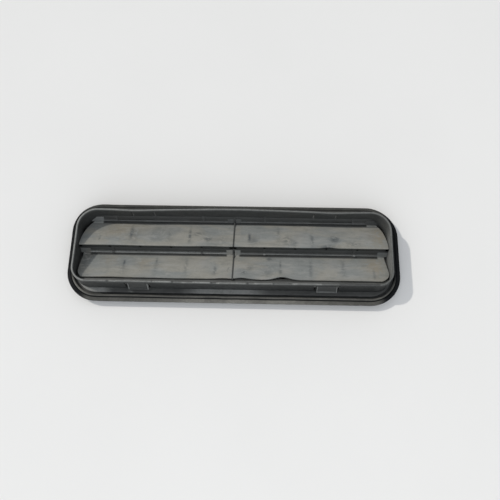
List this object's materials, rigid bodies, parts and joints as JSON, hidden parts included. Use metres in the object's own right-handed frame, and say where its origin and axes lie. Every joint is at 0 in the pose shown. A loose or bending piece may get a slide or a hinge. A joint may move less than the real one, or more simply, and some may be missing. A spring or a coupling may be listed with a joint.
{
  "type": "fender vent",
  "caption": "Rectangular car body air outlet vent with rounded corners: a snap-in plastic frame with a lip seal round its flange and two rows of hinged rubber flaps.",
  "frame": {"origin": "middle of the duct end that the vent lies on", "axes": "+X along the vent's length, +Y towards the hinge side of the flaps' rows, +Z out of the outlet"},
  "size_m": [0.31, 0.097, 0.0295],
  "materials": {
    "frame_plastic": "moulded, dusty, worn along the rim",
    "seal_rubber": "satin",
    "flap_rubber": "matt, dusty and stained"
  },
  "bodies": {
    "frame": {"frame": "frame_plastic", "flange_seal": "seal_rubber"},
    "flap_upper_left": {"flap_upper_left": "flap_rubber"},
    "flap_upper_right": {"flap_upper_right": "flap_rubber"},
    "flap_lower_left": {"flap_lower_left": "flap_rubber"},
    "flap_lower_right": {"flap_lower_right": "flap_rubber"}
  },
  "joints": [
    {"name": "flap_upper_left_hinge", "type": "hinge", "parent": "frame", "child": "flap_upper_left", "pos_m": [0, 0.03005, 0.008], "axis": [-1, 0, 0], "range_deg": [0, 35]},
    {"name": "flap_upper_right_hinge", "type": "hinge", "parent": "frame", "child": "flap_upper_right", "pos_m": [0, 0.03005, 0.008], "axis": [-1, 0, 0], "range_deg": [0, 35]},
    {"name": "flap_lower_left_hinge", "type": "hinge", "parent": "frame", "child": "flap_lower_left", "pos_m": [0, -0.0019, 0.008], "axis": [-1, 0, 0], "range_deg": [0, 35]},
    {"name": "flap_lower_right_hinge", "type": "hinge", "parent": "frame", "child": "flap_lower_right", "pos_m": [0, -0.0019, 0.008], "axis": [-1, 0, 0], "range_deg": [0, 35]}
  ]
}
